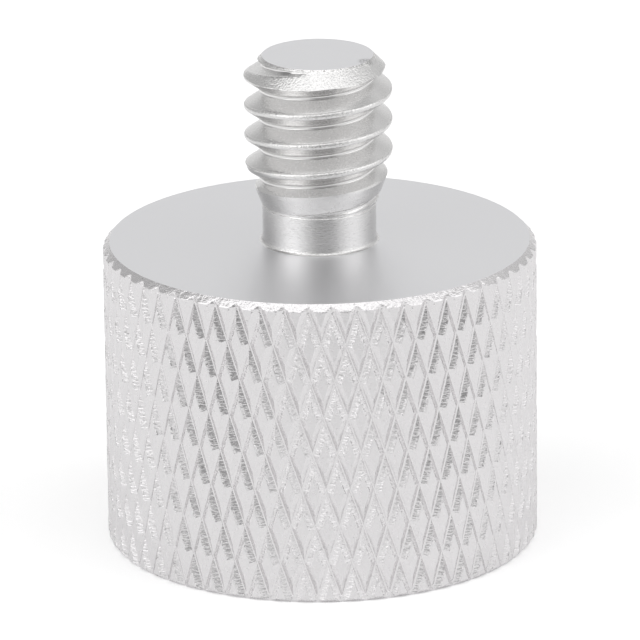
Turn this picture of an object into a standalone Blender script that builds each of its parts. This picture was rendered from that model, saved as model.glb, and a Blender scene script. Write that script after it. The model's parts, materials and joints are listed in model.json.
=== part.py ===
"""Microphone stand thread adapter, turned from one aluminium bar.

A knurled body with a blind 5/8 inch - 27 socket in its underside carries a 1/4 inch - 20 stud on top.
The adapter stands on the mouth of its socket, with +Z along the thread axis and the origin at the
centre of the mouth face. Units are metres.
"""

import math

import bmesh
import bpy

# Socket for the stand's 5/8 inch - 27 thread, at the minor radius of that thread
SOCKET_RADIUS = 0.00743
SOCKET_DEPTH = 0.0100
SOCKET_LEAD_IN = 0.00050
SOCKET_FLOOR_FILLET = 0.00030

# Body around the socket
WALL = 0.00157
FLOOR = 0.0028
TOP_CHAMFER = 0.00028
MOUTH_CHAMFER = 0.00012
BODY_RADIUS = SOCKET_RADIUS + WALL
BODY_HEIGHT = SOCKET_DEPTH + FLOOR

# Stud, 1/4 inch - 20
STUD_RADIUS = 0.00307
STUD_LENGTH = 0.00794
STUD_PITCH = 0.00127
THREAD_ROOT_FLAT = 0.00020
THREAD_CREST_FLAT = 0.00026
THREAD_FLANK_ANGLE = math.radians(30.0)
THREAD_START_ANGLE = math.radians(270.7)
THREAD_HALF_V = 0.5 * (STUD_PITCH - THREAD_ROOT_FLAT - THREAD_CREST_FLAT)
STUD_CORE_RADIUS = STUD_RADIUS - THREAD_HALF_V / math.tan(THREAD_FLANK_ANGLE)

# The tip's face is a little smaller than the core, so that the thread starts in the chamfer
STUD_TIP_INSET = 0.00007
STUD_TIP_RADIUS = STUD_CORE_RADIUS - STUD_TIP_INSET
STUD_TIP_CHAMFER = STUD_RADIUS - STUD_TIP_RADIUS

# Neck under the thread, with the cone on which the thread runs out
NECK_INSET = 0.00001
NECK_RADIUS = STUD_CORE_RADIUS - NECK_INSET
NECK_LENGTH = 0.00170
NECK_FILLET = 0.00014
RUNOUT_LENGTH = 0.00176
RUNOUT_STEP = 0.00006

# Diamond knurl
KNURL_STARTS = 56
KNURL_LEFT_ANGLE = math.radians(19.0)
KNURL_RIGHT_ANGLE = math.radians(16.85)
KNURL_DEPTH = 0.00019
KNURL_FLANK_ANGLE = math.radians(35.0)
KNURL_FIRST_ROW = 0.00166
KNURL_TURN = math.radians(1.43)

# Fineness of the round forms. One facet for each knurl start keeps every diamond cut alike, and
# the turned facets are set off from the rings of the thread tool.
TURN_STEPS = KNURL_STARTS
TURN_PHASE = math.radians(0.7)
THREAD_STEPS = 28
FILLET_STEPS = 3

# How far a tool or the bar stock reaches past the surface that it makes
STOCK_MARGIN = 0.00050
THREAD_TOOL_MARGIN = 0.00005
MERGE_DISTANCE = 0.000001

SHARP_ANGLE = math.radians(24.0)


def clear_scene():
    for obj in list(bpy.data.objects):
        bpy.data.objects.remove(obj)


def new_collection(name):
    collection = bpy.data.collections.new(name)
    bpy.context.scene.collection.children.link(collection)
    return collection


def satin_aluminium():
    """Bead-blasted and clear-anodised aluminium, pale grey."""
    material = bpy.data.materials.new("satin_aluminium")
    material.use_nodes = True
    shader = material.node_tree.nodes["Principled BSDF"]
    shader.inputs["Base Color"].default_value = (0.71, 0.71, 0.72, 1.0)
    shader.inputs["Metallic"].default_value = 0.95
    shader.inputs["Roughness"].default_value = 0.38
    return material


def add_mesh_object(name, mesh, collection):
    obj = bpy.data.objects.new(name, mesh)
    collection.objects.link(obj)
    return obj


def mark_as_tool(obj):
    obj.hide_render = True
    obj.display_type = "WIRE"


def profile_mesh(name, points, closed=False):
    """An outline of (radius, height) points in the XZ plane at +X, ready to be turned about Z."""
    mesh = bpy.data.meshes.new(name)
    edges = [(i, i + 1) for i in range(len(points) - 1)]
    if closed:
        edges.append((len(points) - 1, 0))
    mesh.from_pydata([(radius, 0.0, height) for radius, height in points], edges, [])
    return mesh


def evaluated_mesh(obj):
    """The mesh that an object's modifiers give."""
    graph = bpy.context.evaluated_depsgraph_get()
    return bpy.data.meshes.new_from_object(obj.evaluated_get(graph))


def arc(centre, radius, start, end, steps):
    """Points of an arc in the profile plane, from one angle to another."""
    angles = [start + (end - start) * i / steps for i in range(steps + 1)]
    return [(centre[0] + radius * math.cos(a), centre[1] + radius * math.sin(a)) for a in angles]


def stud_heights():
    """Heights of the stud's sections above the mouth face."""
    tip = BODY_HEIGHT + STUD_LENGTH
    runout_foot = BODY_HEIGHT + NECK_LENGTH
    runout_top = runout_foot + RUNOUT_LENGTH
    return tip, runout_top, runout_foot


def turned_profile():
    """The whole turned section, down the outside and back up the socket to the axis.

    Past the knurled bar's radius the two chamfers run on at 45 degrees, so that they cut the bar.
    """
    tip, runout_top, runout_foot = stud_heights()
    stock_radius = BODY_RADIUS + STOCK_MARGIN
    stud = [
        (0.0, tip),
        (STUD_TIP_RADIUS, tip),
        (STUD_RADIUS, tip - STUD_TIP_CHAMFER),
        (STUD_RADIUS, runout_top),
        (NECK_RADIUS + RUNOUT_STEP, runout_foot),
        (NECK_RADIUS, runout_foot - RUNOUT_STEP),
    ]
    fillet_centre = (NECK_RADIUS + NECK_FILLET, BODY_HEIGHT + NECK_FILLET)
    neck_fillet = arc(fillet_centre, NECK_FILLET, math.pi, 1.5 * math.pi, FILLET_STEPS)
    body = [
        (BODY_RADIUS - TOP_CHAMFER, BODY_HEIGHT),
        (stock_radius, BODY_HEIGHT - TOP_CHAMFER - STOCK_MARGIN),
        (stock_radius, MOUTH_CHAMFER + STOCK_MARGIN),
        (BODY_RADIUS - MOUTH_CHAMFER, 0.0),
    ]
    corner_centre = (SOCKET_RADIUS - SOCKET_FLOOR_FILLET, SOCKET_DEPTH - SOCKET_FLOOR_FILLET)
    socket = [(SOCKET_RADIUS + SOCKET_LEAD_IN, 0.0), (SOCKET_RADIUS, SOCKET_LEAD_IN)]
    socket += arc(corner_centre, SOCKET_FLOOR_FILLET, 0.0, 0.5 * math.pi, FILLET_STEPS)
    socket.append((0.0, SOCKET_DEPTH))
    return stud + neck_fillet + body + socket


def turned_blank(collection):
    mesh = profile_mesh("thread_adapter", turned_profile())
    blank = add_mesh_object("thread_adapter", mesh, collection)
    turning = blank.modifiers.new("turning", "SCREW")
    turning.axis = "Z"
    turning.steps = TURN_STEPS
    turning.render_steps = TURN_STEPS
    turning.use_merge_vertices = True
    turning.merge_threshold = MERGE_DISTANCE
    blank.rotation_euler.z = TURN_PHASE
    return blank


def bar_point(mesh, arc_length, height, depth):
    """A vertex on the bar, placed by the arc length from the turned front of the lattice."""
    angle = KNURL_TURN + arc_length / BODY_RADIUS
    radius = BODY_RADIUS - depth
    return mesh.verts.new((radius * math.sin(angle), -radius * math.cos(angle), height))


def knurl_sizes():
    """Pitch around the bar, height between rows of groove crossings, lean per row, and land's share."""
    pitch = 2.0 * math.pi * BODY_RADIUS / KNURL_STARTS
    row = pitch / (math.tan(KNURL_LEFT_ANGLE) + math.tan(KNURL_RIGHT_ANGLE))
    lean = row * math.tan(KNURL_LEFT_ANGLE)
    flank = KNURL_DEPTH / math.tan(KNURL_FLANK_ANGLE)
    land = 1.0 - 2.0 * flank / pitch
    return pitch, row, lean, land


def knurl_rows():
    """Heights of the rows of groove crossings, from below the mouth face to above the top face."""
    row = knurl_sizes()[1]
    below = math.ceil((KNURL_FIRST_ROW + STOCK_MARGIN) / row) + 1
    above = math.ceil((BODY_HEIGHT - KNURL_FIRST_ROW + STOCK_MARGIN) / row) + 1
    return [(k, KNURL_FIRST_ROW + k * row) for k in range(-below, above + 1)]


def knurled_bar(collection):
    """The knurled bar that the body is turned from.

    Two sets of helical V grooves cross in rows. Between four crossings stands one diamond, with a
    land on top and a flank down to each groove. No modifier makes this crossed surface in one piece,
    so its faces follow the lattice of crossings.
    """
    pitch, row, lean, land = knurl_sizes()
    rows = knurl_rows()
    bar = bmesh.new()
    crossings = []
    for k, height in rows:
        line = [bar_point(bar, i * pitch - k * lean, height, KNURL_DEPTH) for i in range(KNURL_STARTS)]
        crossings.append(line)
    for index in range(1, len(rows) - 1):
        k, height = rows[index]
        for i in range(KNURL_STARTS):
            centre = (i + 0.5) * pitch - k * lean
            after = (i + 1) % KNURL_STARTS
            left, right = crossings[index][i], crossings[index][after]
            bottom, top = crossings[index - 1][i], crossings[index + 1][after]
            drift = land * (lean - 0.5 * pitch)
            crown = [
                bar_point(bar, centre - 0.5 * land * pitch, height, 0.0),
                bar_point(bar, centre + drift, height - land * row, 0.0),
                bar_point(bar, centre + 0.5 * land * pitch, height, 0.0),
                bar_point(bar, centre - drift, height + land * row, 0.0),
            ]
            bar.faces.new(crown)
            corners = [left, bottom, right, top]
            for side in range(4):
                follow = (side + 1) % 4
                bar.faces.new((corners[side], corners[follow], crown[follow], crown[side]))
    foot = bar.verts.new((0.0, 0.0, rows[0][1] - row))
    tip = stud_heights()[0]
    head = bar.verts.new((0.0, 0.0, 2.0 * tip - rows[-1][1]))
    for i in range(KNURL_STARTS):
        after = (i + 1) % KNURL_STARTS
        bar.faces.new((crossings[0][i], crossings[1][i], foot))
        bar.faces.new((crossings[1][after], crossings[0][i], foot))
        bar.faces.new((crossings[-1][after], crossings[-2][after], head))
        bar.faces.new((crossings[-2][i], crossings[-1][after], head))
    mesh = bpy.data.meshes.new("knurled_bar")
    bar.to_mesh(mesh)
    bar.free()
    tool = add_mesh_object("knurled_bar", mesh, collection)
    mark_as_tool(tool)
    return tool


def thread_section():
    """The V of the thread groove: a flat at the core, opening to just past the stud's radius."""
    reach = STUD_RADIUS + THREAD_TOOL_MARGIN
    inner = 0.5 * THREAD_ROOT_FLAT
    outer = inner + (reach - STUD_CORE_RADIUS) * math.tan(THREAD_FLANK_ANGLE)
    return [(reach, outer), (reach, -outer), (STUD_CORE_RADIUS, -inner), (STUD_CORE_RADIUS, inner)]


def thread_tool(collection):
    """A right-hand helical wedge, from the foot of the run-out cone to past the tip of the stud."""
    tip, runout_top, runout_foot = stud_heights()
    turns = math.ceil((tip - runout_foot) / STUD_PITCH) + 1
    mesh = profile_mesh("thread_tool", thread_section(), closed=True)
    wedge = add_mesh_object("thread_sweep", mesh, collection)
    sweep = wedge.modifiers.new("sweep", "SCREW")
    sweep.axis = "Z"
    sweep.screw_offset = STUD_PITCH
    sweep.iterations = turns
    sweep.steps = THREAD_STEPS
    sweep.render_steps = THREAD_STEPS
    sweep.use_merge_vertices = False
    swept = evaluated_mesh(wedge)
    bpy.data.objects.remove(wedge)
    solid = bmesh.new()
    solid.from_mesh(swept)
    bmesh.ops.remove_doubles(solid, verts=solid.verts, dist=MERGE_DISTANCE)
    bmesh.ops.holes_fill(solid, edges=[edge for edge in solid.edges if edge.is_boundary], sides=4)
    bmesh.ops.recalc_face_normals(solid, faces=solid.faces)
    solid.to_mesh(swept)
    solid.free()
    tool = add_mesh_object("thread_tool", swept, collection)
    tool.location.z = runout_foot
    tool.rotation_euler.z = THREAD_START_ANGLE
    mark_as_tool(tool)
    return tool


def add_boolean(obj, tool, operation):
    cut = obj.modifiers.new(tool.name, "BOOLEAN")
    cut.operation = operation
    cut.object = tool
    cut.solver = "EXACT"


def shade_round(mesh):
    mesh.shade_smooth()
    mesh.set_sharp_from_angle(angle=SHARP_ANGLE)


def build():
    clear_scene()
    parts = new_collection("thread_adapter")
    tools = new_collection("tools")
    adapter = turned_blank(parts)
    add_boolean(adapter, knurled_bar(tools), "INTERSECT")
    add_boolean(adapter, thread_tool(tools), "DIFFERENCE")
    finished = evaluated_mesh(adapter)
    adapter.modifiers.clear()
    adapter.data = finished
    finished.materials.clear()
    finished.materials.append(satin_aluminium())
    shade_round(finished)


build()
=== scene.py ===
"""Microphone stand thread adapter: the turned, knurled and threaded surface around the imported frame.

The adapter is one turned piece, so it is one closed mesh. Its knurl is built on the lattice of the two
sets of grooves, its threads on their helices, and the rest is turned from rings. Units are metres.
"""

import json
import math
import random

import bmesh
import bpy
from bpy.props import FloatProperty, FloatVectorProperty, IntProperty, PointerProperty
from mathutils import Matrix, Vector, noise


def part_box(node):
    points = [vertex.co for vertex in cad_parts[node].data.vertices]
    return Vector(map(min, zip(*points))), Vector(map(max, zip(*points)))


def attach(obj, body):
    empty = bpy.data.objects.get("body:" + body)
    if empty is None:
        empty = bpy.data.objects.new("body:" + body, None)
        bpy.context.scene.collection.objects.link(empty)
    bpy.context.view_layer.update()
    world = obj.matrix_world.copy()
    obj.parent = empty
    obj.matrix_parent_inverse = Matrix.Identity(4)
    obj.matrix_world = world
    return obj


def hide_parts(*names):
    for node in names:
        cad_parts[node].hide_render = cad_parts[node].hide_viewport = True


bl_info = {
    "name": "Thread Adapter Finish",
    "version": (1, 0, 0),
    "blender": (4, 5, 0),
    "location": "View3D > Sidebar > Adapter",
    "description": "Builds the finished surface of a knurled stand thread adapter",
    "category": "Mesh",
}

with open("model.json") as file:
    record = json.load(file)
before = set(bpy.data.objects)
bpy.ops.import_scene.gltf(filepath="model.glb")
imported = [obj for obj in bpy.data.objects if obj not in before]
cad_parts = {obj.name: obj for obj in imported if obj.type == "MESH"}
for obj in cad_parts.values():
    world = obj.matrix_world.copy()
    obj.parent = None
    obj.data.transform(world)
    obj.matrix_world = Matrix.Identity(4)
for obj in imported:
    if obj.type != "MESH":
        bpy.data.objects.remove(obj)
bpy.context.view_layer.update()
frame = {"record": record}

NODE = "thread_adapter"
TIP_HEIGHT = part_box(NODE)[1].z
MOUNTS = {mount["name"]: mount for mount in frame["record"]["mounts"]}

TAU = 2.0 * math.pi
MM = 0.001
# Distance within which two points are one
SAME_PLACE = 1e-6 * MM

# Material slots of the mesh, in order
LAND, GROOVE, RIM, FACE, NECK, THREAD, SOCKET = range(7)

# Parts of the studio that are darker or brighter than its plain surround: the middle and half width of
# each, as turns from the front, its lowest and highest rise, the softness of its edges, and the change
# it makes to the light. Angles are in degrees.
STUDIO_PARTS = (
    (8.5, 25.5, -50.0, 46.0, 22.0, -0.43),
    (20.0, 40.0, -50.0, 8.0, 16.0, -0.13),
    (-58.0, 22.0, 10.0, 52.0, 14.0, 0.88),
    (-52.0, 26.0, -60.0, 6.0, 14.0, -0.18),
    (76.0, 22.0, 10.0, 52.0, 16.0, 0.62),
    (0.0, 85.0, 58.0, 84.0, 8.0, 0.66),
    (0.0, 200.0, 82.0, 100.0, 8.0, -0.24),
    (180.0, 85.0, 46.0, 100.0, 14.0, -0.34),
    (-128.0, 26.0, -10.0, 62.0, 22.0, -0.36),
    (135.0, 20.0, -10.0, 40.0, 20.0, -0.24),
    (180.0, 105.0, -60.0, 6.0, 14.0, -0.12),
)
# Light of the plain surround, where 1 is white
SURROUND_LIGHT = 0.88

# Half width of the paper floor, and the distance from the thread axis to its front edge, which the view
# doesn't reach
FLOOR_HALF = 600.0 * MM
FLOOR_FRONT = 64.0 * MM
# Gap that keeps the floor off the mouth face
FLOOR_GAP = 0.01 * MM
# Width of the camera's sensor, in millimetres
SENSOR_WIDTH = 36.0
# Light that the camera and the metal see in the paper, on top of what falls on it
PAPER_SEEN = 0.27
PAPER_MIRRORED = 0.13


class KnurlSettings(bpy.types.PropertyGroup):
    starts: IntProperty(
        name="Starts", description="Grooves of each hand around the body", default=56, min=12)
    left_angle: FloatProperty(
        name="Left Angle", description="Angle of the left-hand grooves to the axis",
        default=math.radians(19.0), subtype="ANGLE")
    right_angle: FloatProperty(
        name="Right Angle", description="Angle of the right-hand grooves to the axis",
        default=math.radians(16.85), subtype="ANGLE")
    first_row: FloatProperty(
        name="First Row", description="Height of a row of groove crossings",
        default=1.659 * MM, subtype="DISTANCE")
    turn: FloatProperty(
        name="Turn", description="Turn of the lattice from a crossing at the front",
        default=math.radians(1.427), subtype="ANGLE")
    left_upper: FloatProperty(
        name="Left Upper Flank", description="Reach of a diamond's upper flank into a left-hand groove",
        default=0.305 * MM, subtype="DISTANCE")
    left_lower: FloatProperty(
        name="Left Lower Flank", description="Reach of a diamond's lower flank into a left-hand groove",
        default=0.255 * MM, subtype="DISTANCE")
    right_upper: FloatProperty(
        name="Right Upper Flank", description="Reach of a diamond's upper flank into a right-hand groove",
        default=0.290 * MM, subtype="DISTANCE")
    right_lower: FloatProperty(
        name="Right Lower Flank", description="Reach of a diamond's lower flank into a right-hand groove",
        default=0.258 * MM, subtype="DISTANCE")
    left_depth: FloatProperty(
        name="Left Depth", description="Depth of the left-hand grooves",
        default=0.168 * MM, subtype="DISTANCE")
    right_depth: FloatProperty(
        name="Right Depth", description="Depth of the right-hand grooves",
        default=0.140 * MM, subtype="DISTANCE")
    left_flat: FloatProperty(
        name="Left Flat", description="Half width of the bottom of the left-hand grooves",
        default=0.030 * MM, subtype="DISTANCE")
    right_flat: FloatProperty(
        name="Right Flat", description="Half width of the bottom of the right-hand grooves",
        default=0.045 * MM, subtype="DISTANCE")
    edge: FloatProperty(
        name="Edge", description="Half width of the rounding along a land",
        default=0.010 * MM, subtype="DISTANCE")


class BodySettings(bpy.types.PropertyGroup):
    radius: FloatProperty(
        name="Radius", description="Radius of the body over the lands", default=9.0 * MM, subtype="DISTANCE")
    height: FloatProperty(
        name="Height", description="Height of the top face",
        default=MOUNTS["shoulder"]["pos_m"][2], subtype="DISTANCE")
    top_chamfer: FloatProperty(
        name="Top Chamfer", description="Width of the chamfer round the top face",
        default=0.28 * MM, subtype="DISTANCE")
    mouth_chamfer: FloatProperty(
        name="Mouth Chamfer", description="Width of the chamfer round the mouth face",
        default=0.17 * MM, subtype="DISTANCE")
    neck_radius: FloatProperty(
        name="Neck Radius", description="Radius of the plain neck under the thread",
        default=2.3585 * MM, subtype="DISTANCE")
    neck_fillet: FloatProperty(
        name="Neck Fillet", description="Fillet between the neck and the top face",
        default=0.14 * MM, subtype="DISTANCE")
    relief: FloatProperty(
        name="Relief", description="Depth of the fine groove at the neck's upper end",
        default=0.035 * MM, subtype="DISTANCE")
    neck_length: FloatProperty(
        name="Neck Length", description="Height of the neck above the top face",
        default=1.70 * MM, subtype="DISTANCE")


class StudSettings(bpy.types.PropertyGroup):
    radius: FloatProperty(
        name="Radius", description="Radius over the crests", default=3.07 * MM, subtype="DISTANCE")
    core: FloatProperty(
        name="Core", description="Radius at the roots", default=2.3685 * MM, subtype="DISTANCE")
    tip: FloatProperty(
        name="Tip", description="Height of the stud's end", default=TIP_HEIGHT, subtype="DISTANCE")
    tip_radius: FloatProperty(
        name="Tip Radius", description="Radius of the flat on the stud's end",
        default=2.2985 * MM, subtype="DISTANCE")
    pitch: FloatProperty(
        name="Pitch", description="Pitch of the 1/4 inch - 20 thread", default=1.27 * MM, subtype="DISTANCE")
    root_flat: FloatProperty(
        name="Root Flat", description="Width of the root", default=0.11 * MM, subtype="DISTANCE")
    crest_flat: FloatProperty(
        name="Crest Flat", description="Width of the crest", default=0.19 * MM, subtype="DISTANCE")
    root_rounding: FloatProperty(
        name="Root Rounding", description="Width of the rounding between the root and the flanks",
        default=0.035 * MM, subtype="DISTANCE")
    root_hollow: FloatProperty(
        name="Root Hollow", description="Depth of the hollow across the root",
        default=0.004 * MM, subtype="DISTANCE")
    crest_rounding: FloatProperty(
        name="Crest Rounding", description="Width of the rounding between the crest and the flanks",
        default=0.11 * MM, subtype="DISTANCE")
    groove_turn: FloatProperty(
        name="Groove Turn", description="Angle at which the groove's middle meets the neck's upper end",
        default=math.radians(270.7), subtype="ANGLE")
    lead_drop: FloatProperty(
        name="Lead Drop", description="Drop of the groove where it starts on the stud's end",
        default=0.12 * MM, subtype="DISTANCE")
    nick_turn: FloatProperty(
        name="Nick Turn", description="Angle of the small knock on the edge of the stud's end",
        default=math.radians(332.0), subtype="ANGLE")
    runout: FloatProperty(
        name="Run-out", description="Length of the cone on which the thread runs out",
        default=1.76 * MM, subtype="DISTANCE")
    step: FloatProperty(
        name="Step", description="Step at the foot of the run-out cone",
        default=0.06 * MM, subtype="DISTANCE")


class SocketSettings(bpy.types.PropertyGroup):
    radius: FloatProperty(
        name="Radius", description="Radius over the crests of the inner thread",
        default=7.43 * MM, subtype="DISTANCE")
    root_radius: FloatProperty(
        name="Root Radius", description="Radius at the roots of the inner thread",
        default=7.90 * MM, subtype="DISTANCE")
    pitch: FloatProperty(
        name="Pitch", description="Pitch of the 5/8 inch - 27 thread",
        default=25.4 / 27.0 * MM, subtype="DISTANCE")
    depth: FloatProperty(
        name="Depth", description="Depth of the socket", default=10.0 * MM, subtype="DISTANCE")
    lead_in: FloatProperty(
        name="Lead-in", description="Chamfer at the mouth", default=0.50 * MM, subtype="DISTANCE")
    fillet: FloatProperty(
        name="Fillet", description="Fillet round the floor", default=0.30 * MM, subtype="DISTANCE")


class FinishSettings(bpy.types.PropertyGroup):
    metal: FloatVectorProperty(
        name="Metal", description="Colour of the flat faces and the socket",
        default=(0.784, 0.784, 0.798), size=3, subtype="COLOR", min=0.0, max=1.0)
    knurl_metal: FloatVectorProperty(
        name="Knurl Metal", description="Colour of the knurled side",
        default=(0.770, 0.757, 0.764), size=3, subtype="COLOR", min=0.0, max=1.0)
    stud_metal: FloatVectorProperty(
        name="Stud Metal", description="Colour of the stud and its neck",
        default=(0.766, 0.760, 0.756), size=3, subtype="COLOR", min=0.0, max=1.0)
    # Colour of the painted shade in the pits, dents and specks of the metal
    painted_pit_shade: FloatVectorProperty(
        name="Painted Pit Shade", description="Colour of the shade painted into the pits of torn and burred metal",
        default=(0.30, 0.295, 0.29), size=3, subtype="COLOR", min=0.0, max=1.0)
    streak_spacing: FloatProperty(
        name="Streak Spacing", description="Distance between the chatter streaks in the grooves",
        default=0.085 * MM, subtype="DISTANCE")
    streak_length: FloatProperty(
        name="Streak Length", description="Length of the chatter streaks in the grooves",
        default=0.24 * MM, subtype="DISTANCE")
    ripple_height: FloatProperty(
        name="Ripple Height", description="Height of the chatter ripples on the knurl's upper flanks",
        default=0.023 * MM, subtype="DISTANCE")
    grain_size: FloatProperty(
        name="Grain Size", description="Size of the satin grain", default=0.07 * MM, subtype="DISTANCE")


class StageSettings(bpy.types.PropertyGroup):
    paper: FloatVectorProperty(
        name="Paper", description="Colour of the floor",
        default=(0.93, 0.93, 0.93), size=3, subtype="COLOR", min=0.0, max=1.0)
    camera_distance: FloatProperty(
        name="Camera Distance", description="Distance from the camera to its target",
        default=308.424 * MM, subtype="DISTANCE")
    camera_rise: FloatProperty(
        name="Camera Rise", description="Angle by which the camera looks down",
        default=math.radians(18.4729), subtype="ANGLE")
    camera_roll: FloatProperty(
        name="Camera Roll", description="Turn of the camera about its line of sight",
        default=math.radians(-0.6561), subtype="ANGLE")
    target_side: FloatProperty(
        name="Target Side", description="Sideways place of the camera's target",
        default=-0.02106 * MM, subtype="DISTANCE")
    target_height: FloatProperty(
        name="Target Height", description="Height of the camera's target",
        default=9.21415 * MM, subtype="DISTANCE")
    focal_length: FloatProperty(
        name="Focal Length", description="Focal length of the lens",
        default=416.72, unit="CAMERA")


def point(radius, angle, height):
    """A point at a radius and an angle about the thread axis."""
    return radius * math.cos(angle), radius * math.sin(angle), height


def angle_and_height(co):
    """Where a point lies on the surface round the thread axis."""
    return math.atan2(co.y, co.x), co.z


def turn_of(vert):
    """Angle of a vertex about the thread axis, from 0 to a full turn."""
    return math.atan2(vert.co.y, vert.co.x) % TAU


def ring(mesh, radius_at, height, count):
    """A closed ring of vertices, in order of their angle, at a radius that may change with the angle."""
    angles = (TAU * i / count for i in range(count))
    return [mesh.verts.new(point(radius_at(angle, height), angle, height)) for angle in angles]


def close_between(mesh, first, second, slot):
    """Triangles between two closed rings that are both in order of their angle, which it returns."""
    i = j = 0
    made = []
    while i < len(first) or j < len(second):
        next_i = turn_of(first[(i + 1) % len(first)]) + (TAU if i + 1 >= len(first) else 0.0)
        next_j = turn_of(second[(j + 1) % len(second)]) + (TAU if j + 1 >= len(second) else 0.0)
        here, there = first[i % len(first)], second[j % len(second)]
        if j == len(second) or (i < len(first) and next_i <= next_j):
            face = mesh.faces.new((here, first[(i + 1) % len(first)], there))
            i += 1
        else:
            face = mesh.faces.new((here, second[(j + 1) % len(second)], there))
            j += 1
        face.material_index = slot
        made.append(face)
    return made


def turned(mesh, start, profile, count, slot):
    """Rings along a profile of (radius, height), joined to each other and to the ring they start from."""
    last = start
    for radius, height in profile:
        new = ring(mesh, lambda angle, height: radius, height, count)
        close_between(mesh, last, new, slot)
        last = new
    return last


def arc(centre, radius, start, end, steps):
    """Points of an arc in the profile plane, without its first point."""
    angles = [start + (end - start) * i / steps for i in range(1, steps + 1)]
    return [(centre[0] + radius * math.cos(a), centre[1] + radius * math.sin(a)) for a in angles]


def cut_level(mesh, height, clear_above=False, clear_below=False):
    """Cuts a sheet on a level, and clears what lies past it."""
    geometry = list(mesh.verts) + list(mesh.edges) + list(mesh.faces)
    bmesh.ops.bisect_plane(
        mesh, geom=geometry, dist=SAME_PLACE, plane_co=(0.0, 0.0, height), plane_no=(0.0, 0.0, 1.0),
        clear_outer=clear_above, clear_inner=clear_below)


def add_sheet(mesh, sheet, radius_at, slot_at):
    """Copies a sheet on a smooth cylinder into the mesh at its true radius, with the slot of each face.

    It returns the sheet's lower and upper borders, each in order of its angle.
    """
    copies = {}
    for vert in sheet.verts:
        angle, height = angle_and_height(vert.co)
        copies[vert] = mesh.verts.new(point(radius_at(angle, height), angle, height))
    for face in sheet.faces:
        new = mesh.faces.new([copies[vert] for vert in face.verts])
        new.material_index = slot_at(*angle_and_height(face.calc_center_median()))
    for edge in sheet.edges:
        if not edge.smooth:
            mesh.edges.get((copies[edge.verts[0]], copies[edge.verts[1]])).smooth = False
    middle = 0.5 * (min(v.co.z for v in sheet.verts) + max(v.co.z for v in sheet.verts))
    border = {vert for edge in sheet.edges if edge.is_boundary for vert in edge.verts}
    low = sorted([copies[vert] for vert in border if vert.co.z < middle], key=turn_of)
    high = sorted([copies[vert] for vert in border if vert.co.z >= middle], key=turn_of)
    sheet.free()
    return low, high


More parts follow.
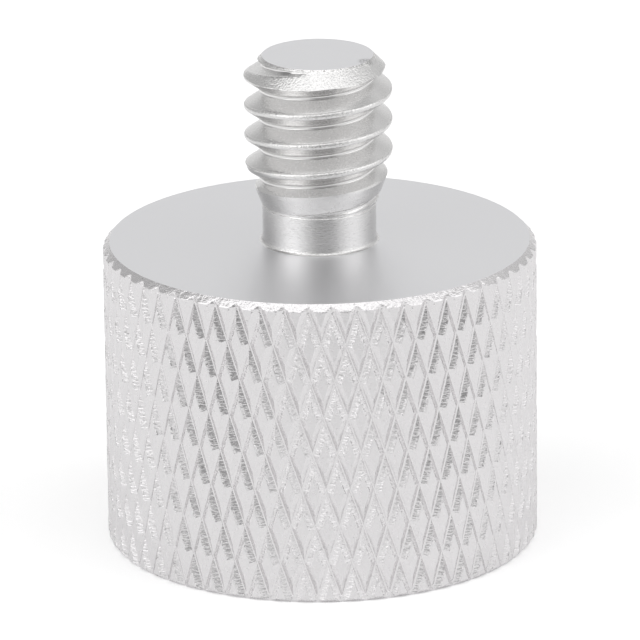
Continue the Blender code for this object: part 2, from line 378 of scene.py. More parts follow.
class Knurl:
    """The lattice of the two sets of grooves, and the depth of the surface at any place on it."""

    LINES_SEED = 7
    # Share by which one groove is deeper or shallower than another
    DEPTH_SPREAD = 0.05

    def __init__(self, knurl, body):
        self.radius = body.radius
        self.starts = knurl.starts
        self.pitch = TAU * body.radius / knurl.starts
        self.left = math.tan(knurl.left_angle)
        self.right = math.tan(knurl.right_angle)
        self.row = self.pitch / (self.left + self.right)
        self.first_row = knurl.first_row
        self.turn = knurl.turn
        self.edge = knurl.edge / self.pitch
        # Half widths of each groove before and after its line, flat, and depth
        self.left_groove = [value / self.pitch for value in
                            (knurl.left_upper, knurl.left_lower, knurl.left_flat)] + [knurl.left_depth]
        self.right_groove = [value / self.pitch for value in
                             (knurl.right_lower, knurl.right_upper, knurl.right_flat)] + [knurl.right_depth]
        draw, spread = random.Random(self.LINES_SEED), self.DEPTH_SPREAD
        self.left_depths = [1.0 + draw.uniform(-spread, spread) for _ in range(knurl.starts)]
        self.right_depths = [1.0 + draw.uniform(-spread, spread) for _ in range(knurl.starts)]

    def lines(self, groove):
        """Places of the mesh lines across one diamond, as shares of the pitch."""
        before, after = groove[:2]
        flats = sorted((self.left_groove[2], self.right_groove[2]))
        start = [0.0, *flats, after - self.edge, after + self.edge]
        end = [0.0, *flats, before - self.edge, before + self.edge]
        return start + [1.0 - place for place in reversed(end)]

    def place(self, left_line, right_line):
        """The angle and height at which two lines of the lattice cross."""
        height = self.first_row + self.row * (left_line - right_line)
        along = self.pitch * left_line - (height - self.first_row) * self.left
        return along / self.radius + self.turn - 0.5 * math.pi, height

    def lattice(self, angle, height):
        """The lattice coordinates of a place, the reverse of place()."""
        along = (angle + 0.5 * math.pi - self.turn) * self.radius
        rise = height - self.first_row
        return (along + rise * self.left) / self.pitch, (along - rise * self.right) / self.pitch

    def cut(self, line, groove, depths):
        """Depth of one set of grooves at a lattice coordinate."""
        before, after, flat, depth = groove
        share = line % 1.0
        near, reach = (share, after) if share < 0.5 else (1.0 - share, before)
        inside = reach - max(near, flat)
        if inside < -self.edge:
            return 0.0
        if inside < self.edge:
            inside = (inside + self.edge) ** 2 / (4.0 * self.edge)
        return depth * inside / (reach - flat) * depths[math.floor(line + 0.5) % self.starts]

    def depth(self, angle, height):
        """Depth of the surface below the lands."""
        left_line, right_line = self.lattice(angle, height)
        return max(self.cut(left_line, self.left_groove, self.left_depths),
                   self.cut(right_line, self.right_groove, self.right_depths))

    def sheet(self, low, high):
        """A sheet of lattice cells on the smooth cylinder, cut between two levels."""
        sheet = bmesh.new()
        left_lines, right_lines = self.lines(self.left_groove), self.lines(self.right_groove)
        steps = len(left_lines) - 1
        span = self.starts * steps
        verts = {}

        def corner(i, j, a, b):
            key = (i * steps + a, j * steps + b)
            if key[0] >= span:
                key = (key[0] - span, key[1] - span)
            if key not in verts:
                angle, height = self.place(i + left_lines[a], j + right_lines[b])
                verts[key] = sheet.verts.new(point(self.radius, angle, height))
            return verts[key]

        lowest = math.floor((low - self.first_row) / self.row) - 1
        highest = math.ceil((high - self.first_row) / self.row) + 1
        for i in range(self.starts):
            for k in range(lowest, highest + 1):
                for a in range(steps):
                    for b in range(steps):
                        square = [corner(i, i - k, a, b), corner(i, i - k, a + 1, b),
                                  corner(i, i - k, a + 1, b + 1), corner(i, i - k, a, b + 1)]
                        self.add_square(sheet, square, a, b, steps)
        cut_level(sheet, low, clear_below=True)
        cut_level(sheet, high, clear_above=True)
        return sheet

    @staticmethod
    def add_square(sheet, square, a, b, steps):
        """Two triangles, split along the ridge between two flanks of a diamond."""
        low_a, low_b = a < steps // 2, b < steps // 2
        if low_a == low_b:
            first, second = (0, 1, 2), (0, 2, 3)
            ridge = (0, 2)
            on_ridge = a == b
        else:
            first, second = (0, 1, 3), (1, 2, 3)
            ridge = (1, 3)
            on_ridge = a + b == steps - 1
        sheet.faces.new([square[n] for n in first])
        sheet.faces.new([square[n] for n in second])
        if on_ridge and a != steps // 2:
            sheet.edges.get((square[ridge[0]], square[ridge[1]])).smooth = False


class Helix:
    """A thread's lead, and a sheet whose lines follow it."""

    def __init__(self, pitch, start_turn, start_height):
        self.pitch = pitch
        self.start_turn = start_turn
        self.start_height = start_height

    def share(self, angle, height):
        """Distance from the middle of the groove along the axis, as a share of the pitch."""
        rise = (angle - self.start_turn) / TAU
        return ((height - self.start_height) / self.pitch - rise) % 1.0

    def sheet(self, low, high, radius, rows, columns, levels=()):
        """A sheet on a smooth cylinder between two levels, with its rows as shares of the pitch."""
        sheet = bmesh.new()
        count = len(rows)
        verts = {}

        def corner(column, row):
            if column == columns:
                column, row = 0, row + count
            key = (column, row)
            if key not in verts:
                angle = self.start_turn + TAU * column / columns
                turns = row // count + rows[row % count] + column / columns
                height = self.start_height + self.pitch * turns
                verts[key] = sheet.verts.new(point(radius, angle, height))
            return verts[key]

        first = count * (math.floor((low - self.start_height) / self.pitch) - 2)
        last = count * (math.ceil((high - self.start_height) / self.pitch) + 2)
        for row in range(first, last):
            for column in range(columns):
                sheet.faces.new((corner(column, row), corner(column + 1, row),
                                 corner(column + 1, row + 1), corner(column, row + 1)))
        cut_level(sheet, low, clear_below=True)
        cut_level(sheet, high, clear_above=True)
        for level in levels:
            cut_level(sheet, level)
        return sheet


def blend_low(first, second, width):
    """The lower of two values, rounded where they lie within a width of each other."""
    share = max(width - abs(first - second), 0.0) / width
    return min(first, second) - 0.25 * width * share * share


def soft_step(value, low, high):
    share = min(max((value - low) / (high - low), 0.0), 1.0)
    return share * share * (3.0 - 2.0 * share)


class Adapter:
    """The whole turned piece, joined ring by ring from the stud's tip to the socket's floor."""

    # Columns of the mesh around the axis
    STUD_COLUMNS = 150
    SOCKET_COLUMNS = 120
    RIM_COLUMNS_PER_START = 12
    # Rows of the threads, from the middle of the groove, as shares of the pitch
    STUD_ROWS = (0.0, 0.02, 0.034, 0.046, 0.060, 0.085, 0.12, 0.18, 0.26, 0.34, 0.385, 0.408, 0.43, 0.45,
                 0.475, 0.5, 0.525, 0.55, 0.57, 0.592, 0.615, 0.66, 0.74, 0.82, 0.88, 0.915, 0.940, 0.954,
                 0.966, 0.98)
    SOCKET_ROWS = (0.0, 0.07, 0.40, 0.46, 0.54, 0.60, 0.93)
    # Where the lattice of the knurl ends, above the mouth face and below the top face
    KNURL_LOW, KNURL_HIGH = 0.30 * MM, 0.42 * MM
    # Rings past those ends, and cuts through the stud's chamfer, in millimetres from their face
    TOP_RINGS = (0.37, 0.33, 0.295, 0.265, 0.235, 0.205, 0.175, 0.145, 0.11, 0.06, 0.0)
    MOUTH_RINGS = (0.22, 0.185, 0.16, 0.13, 0.10, 0.06, 0.0)
    TIP_CUTS = (0.08, 0.16, 0.24, 0.32, 0.40, 0.48, 0.56, 0.64, 0.72, 0.77)
    # Widths of the rings that carry the shading of a flat face up to its edge
    TOP_BORDER, FOOT_BORDER, TIP_BORDER = 0.10 * MM, 0.30 * MM, 0.05 * MM
    # Rings of the neck as shares of its length, and the relief's two ends below the neck's upper end
    NECK_RINGS = (0.3, 0.6, 0.8)
    RELIEF_LOW, RELIEF_HIGH = 0.17 * MM, 0.13 * MM
    # Distances below the tip between which the groove's lead-out drops
    LEAD_LOW, LEAD_HIGH = 0.65 * MM, 0.15 * MM
    # Inner thread: the crest's edge from the middle of the groove, and the flank's width, as shares of the
    # pitch; where it starts and ends its run-out, and where its rows end, in pitches from the floor
    INNER_CREST, INNER_FLANK = 0.43, 0.36
    INNER_RUNOUT, INNER_END = (1.9, 0.9), 0.7
    # Height and fineness of the torn edge of the top chamfer
    TEAR_HEIGHT, TEAR_SCALE = 0.012 * MM, 40.0
    # Depth from which a face belongs to a groove
    GROOVE_DEPTH = 0.003 * MM
    # Steps of the fillets at the neck and in the socket
    NECK_STEPS, SOCKET_STEPS = 5, 4
    # Angles from which an edge is sharp, on the whole and between the lands and flanks of the knurl
    SHARP = math.radians(28.0)
    KNURL_SHARP = math.radians(10.0)

    def __init__(self, scene):
        self.body = scene.adapter_body
        self.stud = scene.adapter_stud
        self.socket = scene.adapter_socket
        self.knurl = Knurl(scene.adapter_knurl, self.body)
        self.neck_top = self.body.height + self.body.neck_length
        self.stud_helix = Helix(self.stud.pitch, self.stud.groove_turn, self.neck_top)
        self.socket_helix = Helix(self.socket.pitch, 0.0, 0.0)
        self.mesh = bmesh.new()

    def body_radius(self, angle, height):
        """Outer radius of the knurled body, inside its two chamfers."""
        body = self.body
        knurled = body.radius - self.knurl.depth(angle, height)
        place = Vector(point(1.0, angle, height / body.radius)) * self.TEAR_SCALE
        tear = self.TEAR_HEIGHT * noise.noise(place)
        top = body.radius - body.top_chamfer + (body.height - height) + tear
        mouth = body.radius - body.mouth_chamfer + height
        return min(knurled, top, mouth)

    def body_slot(self, angle, height):
        """Slot of a face of the knurled body, by the cut that is deepest there."""
        body = self.body
        depth = self.knurl.depth(angle, height)
        top = body.top_chamfer - (body.height - height)
        mouth = body.mouth_chamfer - height
        if max(top, mouth) > depth:
            return RIM
        return GROOVE if depth > self.GROOVE_DEPTH else LAND

    def stud_blank(self, height):
        """Radius of the turned stud before its thread is cut."""
        stud = self.stud
        cone_share = (height - self.neck_top) / stud.runout
        foot = self.body.neck_radius + stud.step
        cone = foot + (stud.radius - foot) * cone_share
        chamfer = stud.tip_radius + stud.tip - height
        return min(stud.radius, cone, chamfer)

    def stud_radius(self, angle, height):
        """Radius of the threaded stud."""
        stud = self.stud
        lead = stud.lead_drop * soft_step(height, stud.tip - self.LEAD_LOW, stud.tip - self.LEAD_HIGH)
        share = self.stud_helix.share(angle, height + lead)
        away = min(share, 1.0 - share) * stud.pitch
        root, crest = 0.5 * stud.root_flat, 0.5 * (stud.pitch - stud.crest_flat)
        flank = stud.core + (stud.radius - stud.core) * (away - root) / (crest - root)
        hollow = stud.core + stud.root_hollow * (away / root) ** 2
        thread = -blend_low(-flank, -hollow, stud.root_rounding)
        thread = blend_low(thread, stud.radius, stud.crest_rounding)
        return min(thread, self.stud_blank(height))

    def socket_radius(self, angle, height):
        """Radius of the threaded socket."""
        socket = self.socket
        share = self.socket_helix.share(angle, height)
        away = min(share, 1.0 - share)
        rise = min(max((self.INNER_CREST - away) / self.INNER_FLANK, 0.0), 1.0)
        low, high = (socket.depth - pitches * socket.pitch for pitches in self.INNER_RUNOUT)
        fade = 1.0 - soft_step(height, low, high)
        thread = socket.radius + (socket.root_radius - socket.radius) * rise * fade
        lead_in = socket.radius + socket.lead_in - height
        return max(thread, lead_in, socket.radius)

    def rim(self, start, levels):
        """Rings of the knurled body near one of its ends, fine enough for the chamfer's edge."""
        count = self.knurl.starts * self.RIM_COLUMNS_PER_START
        last = start
        for level in levels:
            new = ring(self.mesh, self.body_radius, level, count)
            for face in close_between(self.mesh, last, new, RIM):
                face.material_index = self.body_slot(*angle_and_height(face.calc_center_median()))
            last = new
        return last

    def cap(self, last, height, slot):
        """Closes a ring with a fan of triangles round a vertex on the axis."""
        middle = self.mesh.verts.new((0.0, 0.0, height))
        for i, vert in enumerate(last):
            self.mesh.faces.new((vert, last[(i + 1) % len(last)], middle)).material_index = slot

    def build(self):
        """Joins the knurled side, the top face, the neck, the stud and the socket."""
        mesh, body, stud, socket = self.mesh, self.body, self.stud, self.socket
        # Knurled side between the rims
        sheet = self.knurl.sheet(self.KNURL_LOW, body.height - self.KNURL_HIGH)
        low, high = add_sheet(mesh, sheet, self.body_radius, self.body_slot)
        top = self.rim(high, [body.height - step * MM for step in self.TOP_RINGS])
        mouth = self.rim(low, [step * MM for step in self.MOUTH_RINGS])
        # Top face, neck fillet and neck
        inner = self.knurl.starts * self.RIM_COLUMNS_PER_START // 3
        edge = body.radius - body.top_chamfer
        last = turned(mesh, top, [(edge - self.TOP_BORDER, body.height)], inner, FACE)
        columns = self.STUD_COLUMNS
        fillet = body.neck_fillet
        centre = (body.neck_radius + fillet, body.height + fillet)
        foot = [(centre[0] + self.FOOT_BORDER, body.height), (centre[0], body.height)]
        last = turned(mesh, last, foot, columns, FACE)
        bend = arc(centre, fillet, 1.5 * math.pi, math.pi, self.NECK_STEPS)
        last = turned(mesh, last, bend, columns, NECK)
        neck = [(body.neck_radius, body.height + share * body.neck_length) for share in self.NECK_RINGS]
        neck += [(body.neck_radius, self.neck_top - self.RELIEF_LOW),
                 (body.neck_radius - body.relief, self.neck_top - self.RELIEF_HIGH),
                 (body.neck_radius - body.relief, self.neck_top - stud.step)]
        last = turned(mesh, last, neck, columns, NECK)
        # Threaded stud
        levels = [stud.tip - step * MM for step in self.TIP_CUTS]
        sheet = self.stud_helix.sheet(self.neck_top, stud.tip, stud.radius, self.STUD_ROWS, columns, levels)
        low, high = add_sheet(mesh, sheet, self.stud_radius, lambda angle, height: THREAD)
        close_between(mesh, last, low, NECK)
        last = turned(mesh, high, [(stud.tip_radius - self.TIP_BORDER, stud.tip)], columns // 2, FACE)
        self.cap(last, stud.tip, FACE)
        # Socket
        columns = self.SOCKET_COLUMNS
        thread_end = socket.depth - self.INNER_END * socket.pitch
        sheet = self.socket_helix.sheet(0.0, thread_end, socket.radius, self.SOCKET_ROWS, columns)
        low, high = add_sheet(mesh, sheet, self.socket_radius, lambda angle, height: SOCKET)
        close_between(mesh, mouth, low, FACE)
        centre = (socket.radius - socket.fillet, socket.depth - socket.fillet)
        bend = arc(centre, socket.fillet, 0.0, 0.5 * math.pi, self.SOCKET_STEPS)
        last = turned(mesh, high, [(socket.radius, centre[1]), *bend], columns, SOCKET)
        self.cap(last, socket.depth, SOCKET)
        return self.finish()

    def finish(self):
        """Triangulates the larger faces, turns the faces outward, marks the sharp edges and stops if the
        mesh has open edges.
        """
        mesh = self.mesh
        bmesh.ops.triangulate(mesh, faces=[face for face in mesh.faces if len(face.verts) > 4])
        bmesh.ops.recalc_face_normals(mesh, faces=mesh.faces)
        for face in mesh.faces:
            face.smooth = True
        for edge in mesh.edges:
            knurled = all(face.material_index in (LAND, GROOVE) for face in edge.link_faces)
            if edge.calc_face_angle(0.0) > (self.KNURL_SHARP if knurled else self.SHARP):
                edge.smooth = False
        open_edges = [edge for edge in mesh.edges if not edge.is_manifold]
        if open_edges:
            raise RuntimeError(f"the adapter's surface has {len(open_edges)} open edges")
        data = bpy.data.meshes.new("adapter_body")
        mesh.to_mesh(data)
        mesh.free()
        return data


class Tree:
    """The nodes of a group, a material or the world, with the kinds of node that the effects use."""

    def __init__(self, tree):
        self.nodes = tree.nodes
        self.links = tree.links

    def feed(self, socket, value):
        """Gives an input another node's output, or a number."""
        if isinstance(value, bpy.types.NodeSocket):
            self.links.new(value, socket)
        else:
            socket.default_value = value

    def math(self, operation, *values):
        node = self.nodes.new("ShaderNodeMath")
        node.operation = operation
        for socket, value in zip(node.inputs, values):
            self.feed(socket, value)
        return node.outputs[0]

    def times(self, value, *factors):
        for factor in factors:
            value = self.math("MULTIPLY", value, factor)
        return value

    def ramp(self, value, none, full):
        """A smooth mask that is 0 at one value and 1 at the other."""
        node = self.nodes.new("ShaderNodeMapRange")
        node.interpolation_type = "SMOOTHSTEP"
        for name, given in (("Value", value), ("From Min", none), ("From Max", full)):
            self.feed(node.inputs[name], given)
        return node.outputs[0]

    def between(self, share, none, full):
        """A value that goes from one number to another as a mask goes from 0 to 1."""
        return self.math("MULTIPLY_ADD", share, full - none, none)

    def noise(self, place, detail):
        """Noise with features one unit wide."""
        node = self.nodes.new("ShaderNodeTexNoise")
        node.inputs["Scale"].default_value = 1.0
        node.inputs["Detail"].default_value = detail
        self.links.new(place, node.inputs["Vector"])
        return node.outputs["Fac"]

    def coordinate(self, name):
        return self.nodes.new("ShaderNodeTexCoord").outputs[name]

    def split(self, name):
        """A texture coordinate as three sockets."""
        split = self.nodes.new("ShaderNodeSeparateXYZ")
        self.links.new(self.coordinate(name), split.inputs[0])
        return split.outputs

    def place(self):
        """A point's place as three sockets, and its distance from the thread axis."""
        x, y, z = self.split("Object")
        squares = self.math("ADD", self.times(x, x), self.times(y, y))
        return x, y, z, self.math("SQRT", squares)

    def joined(self, *axes):
        join = self.nodes.new("ShaderNodeCombineXYZ")
        for value, socket in zip(axes, join.inputs):
            self.links.new(value, socket)
        return join.outputs[0]


def new_group(name, inputs, outputs):
    """A group of nodes with its sockets: the group, its tree, what it is given, and its results."""
    group = bpy.data.node_groups.new(name, "ShaderNodeTree")
    for label, value in inputs.items():
        socket = group.interface.new_socket(label, in_out="INPUT", socket_type="NodeSocketFloat")
        socket.default_value = value
    for label in outputs:
        group.interface.new_socket(label, in_out="OUTPUT", socket_type="NodeSocketFloat")
    given = group.nodes.new("NodeGroupInput").outputs
    result = group.nodes.new("NodeGroupOutput").inputs
    return group, Tree(group), given, result


def chatter_streaks():
    """Short streaks around the axis, as a chattering cutter leaves them, and a mask of the pits between
    them, where shade is painted.
    """
    group, tree, given, result = new_group(
        "chatter_streaks", {"Radius": 9.0 * MM, "Spacing": 0.10 * MM, "Length": 0.50 * MM, "Pits": 0.3},
        ("Height", "Pits"))
    x, y, z, reach = tree.place()
    around = tree.math("DIVIDE", given["Radius"], tree.times(reach, given["Length"]))
    rise = tree.math("DIVIDE", z, given["Spacing"])
    streaks = tree.noise(tree.joined(tree.times(x, around), tree.times(y, around), rise), 2.0)
    tree.links.new(streaks, result["Height"])
    level = tree.between(given["Pits"], 0.15, 0.65)
    tree.links.new(tree.ramp(streaks, level, tree.math("SUBTRACT", level, 0.10)), result["Pits"])
    return group


def satin_grain():
    """The fine even grain of blasted and anodised metal."""
    group, tree, given, result = new_group(
        "satin_grain", {"Size": 0.07 * MM, "Level": 0.3, "Spread": 0.1}, ("Height", "Roughness"))
    place = tree.joined(*(tree.math("DIVIDE", axis, given["Size"]) for axis in tree.split("Object")))
    grain = tree.noise(place, 1.0)
    tree.links.new(grain, result["Height"])
    off = tree.math("SUBTRACT", grain, 0.5)
    tree.links.new(tree.math("MULTIPLY_ADD", off, given["Spread"], given["Level"]), result["Roughness"])
    return group


def turning_marks():
    """Fine rings that a cutting tool leaves, by height on a side and by radius on a face."""
    group, tree, given, result = new_group(
        "turning_marks", {"Spacing": 0.08 * MM, "On Face": 0.0}, ("Height",))
    *_, z, reach = tree.place()
    across = tree.math("MULTIPLY_ADD", tree.math("SUBTRACT", reach, z), given["On Face"], z)
    rings = tree.nodes.new("ShaderNodeTexNoise")
    rings.noise_dimensions = "1D"
    rings.inputs["Scale"].default_value = 1.0
    rings.inputs["Detail"].default_value = 2.0
    tree.links.new(tree.math("DIVIDE", across, given["Spacing"]), rings.inputs["W"])
    tree.links.new(rings.outputs["Fac"], result["Height"])
    return group


class MetalMaker:
    """Materials of the adapter's surfaces, from shared groups of nodes."""

    # Distance of the knock's middle inside the edge of the stud's end
    NICK_INSET = 0.08 * MM
    # Radius at which the stud's burrs have their given length
    BURR_RADIUS = 3.0 * MM

    def __init__(self, finish, body, stud):
        self.finish = finish
        self.body = body
        self.stud = stud
        self.neck_top = body.height + body.neck_length
        self.streaks = chatter_streaks()
        self.grain = satin_grain()
        self.marks = turning_marks()

    def begin(self, name, colour):
        """Starts a material, whose roughness comes from its grain."""
        self.material, self.shader = new_material(name, colour, roughness=0.3)
        self.colour = colour
        self.tree = Tree(self.material.node_tree)
        self.heights = []

    def use(self, group, **values):
        """Places a group with its own values, and gives its outputs."""
        node = self.tree.nodes.new("ShaderNodeGroup")
        node.node_tree = group
        for label, value in values.items():
            self.tree.feed(node.inputs[label.replace("_", " ")], value)
        return node.outputs

    def raise_by(self, height, depth, share=None):
        """Adds a height to the surface's relief, faded by a mask where one is given."""
        factors = (depth,) if share is None else (depth, share)
        self.heights.append(self.tree.times(height, *factors))

    def darken(self, mask, amount):
        """Paints shade into the surface's colour where a mask says, showing the painted pit shade through
        the plain colour.
        """
        mix = self.tree.nodes.new("ShaderNodeMix")
        mix.data_type = "RGBA"
        mix.inputs["A"].default_value = (*self.colour, 1.0)
        mix.inputs["B"].default_value = (*self.finish.painted_pit_shade, 1.0)
        self.tree.links.new(self.tree.times(mask, amount), mix.inputs["Factor"])
        for socket in mix.outputs:
            if socket.type == "RGBA":
                self.tree.links.new(socket, self.shader.inputs["Base Color"])

    def satin(self, level, spread, depth):
        """Gives the surface its satin grain and its roughness."""
        grain = self.use(self.grain, Size=self.finish.grain_size, Level=level, Spread=spread)
        self.tree.links.new(grain["Roughness"], self.shader.inputs["Roughness"])
        self.raise_by(grain["Height"], depth)

    def rings(self, spacing, depth, on_face=0.0):
        """Gives the surface a cutting tool's rings."""
        self.raise_by(self.use(self.marks, Spacing=spacing, On_Face=on_face)["Height"], depth)

    def tear(self, depth, darkness, **values):
        """Gives the surface dents, with painted shade in their pits."""
        dents = self.use(self.streaks, **values)
        self.raise_by(dents["Height"], depth)
        self.darken(dents["Pits"], darkness)

    def end(self):
        """Adds the heights up into the surface's relief."""
        total = self.heights[0]
        for height in self.heights[1:]:
            total = self.tree.math("ADD", total, height)
        bump = self.tree.nodes.new("ShaderNodeBump")
        bump.inputs["Distance"].default_value = 1.0
        self.tree.links.new(total, bump.inputs["Height"])
        self.tree.links.new(bump.outputs["Normal"], self.shader.inputs["Normal"])
        return self.material

    def lands(self):
        self.begin("knurl_lands", self.finish.knurl_metal)
        self.satin(level=0.30, spread=0.16, depth=0.0032 * MM)
        # Dents, with painted shade in their pits
        self.tear(depth=0.0055 * MM, darkness=0.75, Spacing=0.05 * MM, Length=0.07 * MM, Pits=0.36)
        return self.end()

    def grooves(self):
        """Flanks with the ripples of a chattering tool, which notch the edges of the lands, and painted
        shade in the pits on the upper flanks.
        """
        self.begin("knurl_grooves", self.finish.knurl_metal)
        tree = self.tree
        self.satin(level=0.23, spread=0.25, depth=0.0022 * MM)
        streaks = self.use(self.streaks, Spacing=self.finish.streak_spacing,
                           Length=self.finish.streak_length, Pits=0.42)
        *_, reach = tree.place()
        depth = tree.math("SUBTRACT", self.body.radius, reach)
        ripple = tree.ramp(streaks["Height"], none=0.40, full=0.64)
        upper = tree.ramp(tree.split("Normal")["Z"], none=0.03, full=0.12)
        share = tree.between(upper, none=0.06, full=1.0)
        near_edge = tree.ramp(depth, none=0.07 * MM, full=0.02 * MM)
        fade = tree.between(near_edge, none=0.32, full=1.0)
        height = tree.times(ripple, self.finish.ripple_height, tree.times(share, fade))
        self.heights.append(tree.math("MINIMUM", depth, height))
        # Painted shade in the pits between the ripples, on the upper flanks only
        self.darken(tree.times(streaks["Pits"], upper), amount=0.48)
        return self.end()

    def rims(self):
        """The two chamfers of the body, dented and torn where the grooves run out through them, with painted
        shade in the pits of the dents.
        """
        self.begin("rim_chamfers", self.finish.knurl_metal)
        self.satin(level=0.26, spread=0.25, depth=0.010 * MM)
        self.rings(spacing=0.06 * MM, depth=0.005 * MM)
        self.tear(depth=0.022 * MM, darkness=0.45, Spacing=0.10 * MM, Length=0.13 * MM, Pits=0.40)
        return self.end()

    def faces(self):
        self.begin("turned_faces", self.finish.metal)
        self.satin(level=0.40, spread=0.10, depth=0.0010 * MM)
        # Painted shade in the dents of the knock on the stud's end
        self.darken(self.nick(), amount=0.70)
        return self.end()

    def neck(self):
        """The scored neck, with painted shade in the pits of its dents, and the specks on the fillet at its
        foot.
        """
        self.begin("scored_neck", self.finish.stud_metal)
        tree, top = self.tree, self.body.height
        self.satin(level=0.20, spread=0.15, depth=0.0010 * MM)
        self.rings(spacing=0.07 * MM, depth=0.006 * MM)
        self.tear(depth=0.019 * MM, darkness=0.38,
                  Radius=self.body.neck_radius, Spacing=0.050 * MM, Length=0.22 * MM, Pits=0.44)
        fillet = tree.ramp(tree.split("Object")["Z"], none=top + 0.20 * MM, full=top + 0.10 * MM)
        specks = self.use(self.grain, Size=0.05 * MM)
        self.raise_by(specks["Height"], depth=0.016 * MM, share=fillet)
        return self.end()

    def nick(self):
        """Knocks the edge of the stud's end, and gives the mask of the painted shade in its dents."""
        tree, stud = self.tree, self.stud
        away = tree.nodes.new("ShaderNodeVectorMath")
        away.operation = "DISTANCE"
        tree.links.new(tree.coordinate("Object"), away.inputs[0])
        away.inputs[1].default_value = point(stud.tip_radius - self.NICK_INSET, stud.nick_turn, stud.tip)
        mask = tree.ramp(away.outputs["Value"], none=0.40 * MM, full=0.12 * MM)
        dents = self.use(self.grain, Size=0.10 * MM)
        self.raise_by(dents["Height"], depth=0.10 * MM, share=mask)
        return tree.times(mask, tree.ramp(dents["Height"], none=0.62, full=0.48))

    def thread(self):
        """The stud's thread: shiny roots, burred crests and chamfer, and scores on the run-out, with painted
        shade in the burrs' pits on the crests, in specks near the end's edge and in the knock's dents.
        """
        self.begin("stud_thread", self.finish.stud_metal)
        tree, stud = self.tree, self.stud
        *_, z, reach = tree.place()
        root = tree.ramp(reach, none=stud.core + 0.06 * MM, full=stud.core + 0.03 * MM)
        self.satin(level=tree.between(root, none=0.25, full=0.12), spread=0.15, depth=0.0010 * MM)
        self.rings(spacing=0.05 * MM, depth=0.0006 * MM, on_face=1.0)
        crest = tree.ramp(reach, none=stud.radius - 0.09 * MM, full=stud.radius - 0.03 * MM)
        cone = stud.tip_radius + stud.tip
        chamfer = tree.ramp(tree.math("ADD", reach, z), none=cone - 0.05 * MM, full=cone - 0.02 * MM)
        burrs = self.use(self.streaks, Radius=self.BURR_RADIUS, Spacing=0.065 * MM, Length=0.085 * MM,
                         Pits=0.40)
        self.raise_by(burrs["Height"], depth=0.026 * MM, share=tree.math("MAXIMUM", crest, chamfer))
        edge = tree.ramp(z, none=stud.tip - 0.09 * MM, full=stud.tip - 0.04 * MM)
        dots = self.use(self.streaks, Radius=self.BURR_RADIUS, Spacing=0.08 * MM, Length=0.10 * MM,
                        Pits=0.62)
        # Painted shade in the pits of the burrs on the crests, in specks near the edge of the end, and in
        # the knock's dents
        burred = tree.math("MAXIMUM", tree.times(burrs["Pits"], crest), tree.times(dots["Pits"], edge))
        self.darken(tree.math("MAXIMUM", burred, self.nick()), amount=0.75)
        low = tree.ramp(z, none=self.neck_top + 0.95 * MM, full=self.neck_top + 0.60 * MM)
        scores = self.use(self.streaks, Radius=self.body.neck_radius, Spacing=0.05 * MM, Length=0.25 * MM)
        self.raise_by(scores["Height"], depth=0.018 * MM, share=low)
        return self.end()

    def socket(self):
        self.begin("socket_thread", self.finish.metal)
        self.satin(level=0.34, spread=0.15, depth=0.0015 * MM)
        self.rings(spacing=0.06 * MM, depth=0.002 * MM)
        return self.end()

    def all(self):
        """The materials in the order of the mesh's slots."""
        return (self.lands(), self.grooves(), self.rims(), self.faces(), self.neck(), self.thread(),
                self.socket())


def new_material(name, colour, roughness, metallic=1.0):
    material = bpy.data.materials.new(name)
    material.use_nodes = True
    shader = material.node_tree.nodes["Principled BSDF"]
    shader.inputs["Base Color"].default_value = (*colour, 1.0)
    shader.inputs["Roughness"].default_value = roughness
    shader.inputs["Metallic"].default_value = metallic
    return material, shader


class AddAdapter(bpy.types.Operator):
    """Builds the adapter's finished surface in place of its frame node"""
    bl_idname = "mesh.add_thread_adapter"
    bl_label = "Add Thread Adapter"

    def execute(self, context):
        scene = context.scene
        data = Adapter(scene).build()
        maker = MetalMaker(scene.adapter_finish, scene.adapter_body, scene.adapter_stud)
        for material in maker.all():
            data.materials.append(material)
        adapter = bpy.data.objects.new("adapter_body", data)
        scene.collection.objects.link(adapter)
        shading = adapter.modifiers.new("flat_lands_and_flanks", "WEIGHTED_NORMAL")
        shading.weight = 100
        shading.keep_sharp = True
        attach(adapter, "root")
        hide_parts(NODE)
        return {"FINISHED"}


def set_camera(scene, stage):
    data = bpy.data.cameras.new("view")
    data.lens = stage.focal_length
    data.sensor_width = SENSOR_WIDTH
    camera = bpy.data.objects.new("view", data)
    scene.collection.objects.link(camera)
    sight = Vector((0.0, math.cos(stage.camera_rise), -math.sin(stage.camera_rise)))
    place = Vector((stage.target_side, 0.0, stage.target_height)) - stage.camera_distance * sight
    tilt = Matrix.Rotation(0.5 * math.pi - stage.camera_rise, 4, "X")
    roll = Matrix.Rotation(stage.camera_roll, 4, "Z")
    camera.matrix_world = Matrix.Translation(place) @ tilt @ roll
    scene.camera = camera


def set_world(scene):
    """A pale studio with softboxes to the left, to the right and above, and a dark opening in front."""
    world = bpy.data.worlds.new("studio")
    scene.world = world
    world.use_nodes = True
    tree = Tree(world.node_tree)
    x, y, z = tree.split("Generated")
    turn = tree.math("ARCTAN2", x, tree.times(y, -1.0))
    rise = tree.math("ARCSINE", z)
    light = SURROUND_LIGHT
    for middle, half, low, high, soft, change in STUDIO_PARTS:
        middle, half, low, high, soft = (
            math.radians(angle) for angle in (middle, half, low, high, 0.5 * soft))
        off = tree.math("WRAP", tree.math("SUBTRACT", turn, middle), math.pi, -math.pi)
        inside = tree.ramp(tree.math("ABSOLUTE", off), half + soft, half - soft)
        above = tree.ramp(rise, low - soft, low + soft)
        below = tree.ramp(rise, high + soft, high - soft)
        light = tree.math("MULTIPLY_ADD", tree.times(inside, above, below), change, light)
    rays = tree.nodes.new("ShaderNodeLightPath")
    background = tree.nodes["Background"]
    background.inputs["Color"].default_value = (1.0, 1.0, 1.0, 1.0)
    shown = tree.math("SUBTRACT", 1.0, light)
    tree.links.new(tree.math("MULTIPLY_ADD", shown, rays.outputs["Is Camera Ray"], light),
                   background.inputs["Strength"])


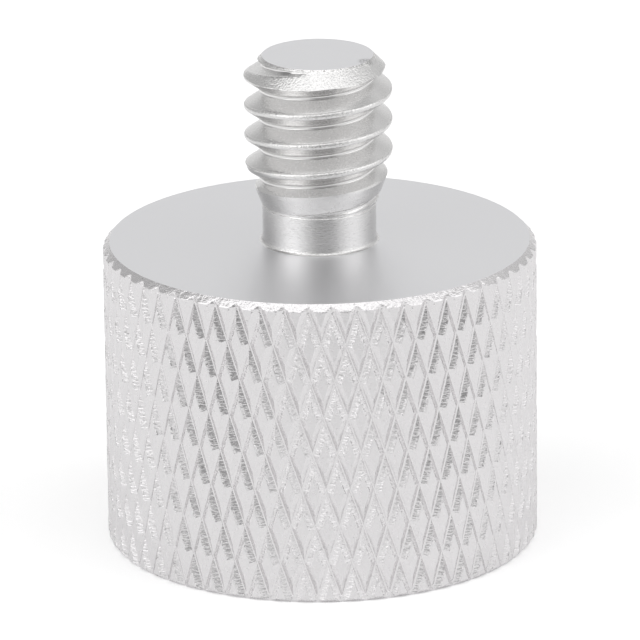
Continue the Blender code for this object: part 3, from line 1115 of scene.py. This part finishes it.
def set_floor(scene, stage):
    """A paper floor that ends a little way in front of the adapter."""
    mesh = bmesh.new()
    bmesh.ops.create_grid(mesh, x_segments=8, y_segments=8, size=FLOOR_HALF)
    for vert in mesh.verts:
        vert.co.y = max(vert.co.y, -FLOOR_FRONT)
        vert.co.z = -FLOOR_GAP
    bmesh.ops.remove_doubles(mesh, verts=mesh.verts, dist=SAME_PLACE)
    data = bpy.data.meshes.new("floor")
    mesh.to_mesh(data)
    mesh.free()
    floor = bpy.data.objects.new("floor", data)
    scene.collection.objects.link(floor)
    material, shader = new_material("floor_paper", stage.paper, roughness=0.9, metallic=0.0)
    tree = Tree(material.node_tree)
    rays = tree.nodes.new("ShaderNodeLightPath")
    seen = tree.times(rays.outputs["Is Camera Ray"], PAPER_SEEN)
    tree.links.new(tree.math("MULTIPLY_ADD", rays.outputs["Is Glossy Ray"], PAPER_MIRRORED, seen),
                   shader.inputs["Emission Strength"])
    shader.inputs["Emission Color"].default_value = (1.0, 1.0, 1.0, 1.0)
    data.materials.append(material)


class AddStage(bpy.types.Operator):
    """Adds the pale floor, the studio light and the camera"""
    bl_idname = "scene.add_adapter_stage"
    bl_label = "Add Stage"

    def execute(self, context):
        scene = context.scene
        stage = scene.adapter_stage
        scene.view_settings.view_transform = "Standard"
        set_camera(scene, stage)
        set_world(scene)
        set_floor(scene, stage)
        return {"FINISHED"}


class AdapterPanel(bpy.types.Panel):
    """Sizes, finish and stage of the thread adapter"""
    bl_idname = "VIEW3D_PT_thread_adapter"
    bl_label = "Thread Adapter"
    bl_space_type = "VIEW_3D"
    bl_region_type = "UI"
    bl_category = "Adapter"

    def draw(self, context):
        layout = self.layout
        for name in GROUPS:
            settings = getattr(context.scene, name)
            column = layout.column(align=True)
            for prop in settings.bl_rna.properties:
                if prop.identifier not in {"rna_type", "name"}:
                    column.prop(settings, prop.identifier)
        layout.operator(AddAdapter.bl_idname)
        layout.operator(AddStage.bl_idname)


GROUPS = {
    "adapter_body": BodySettings,
    "adapter_knurl": KnurlSettings,
    "adapter_stud": StudSettings,
    "adapter_socket": SocketSettings,
    "adapter_finish": FinishSettings,
    "adapter_stage": StageSettings,
}
CLASSES = (*GROUPS.values(), AddAdapter, AddStage, AdapterPanel)


def register():
    for cls in CLASSES:
        bpy.utils.register_class(cls)
    for name, group in GROUPS.items():
        setattr(bpy.types.Scene, name, PointerProperty(type=group))


def unregister():
    for name in GROUPS:
        delattr(bpy.types.Scene, name)
    for cls in reversed(CLASSES):
        bpy.utils.unregister_class(cls)


def main():
    register()
    bpy.ops.mesh.add_thread_adapter()
    bpy.ops.scene.add_adapter_stage()


if __name__ == "__main__":
    main()
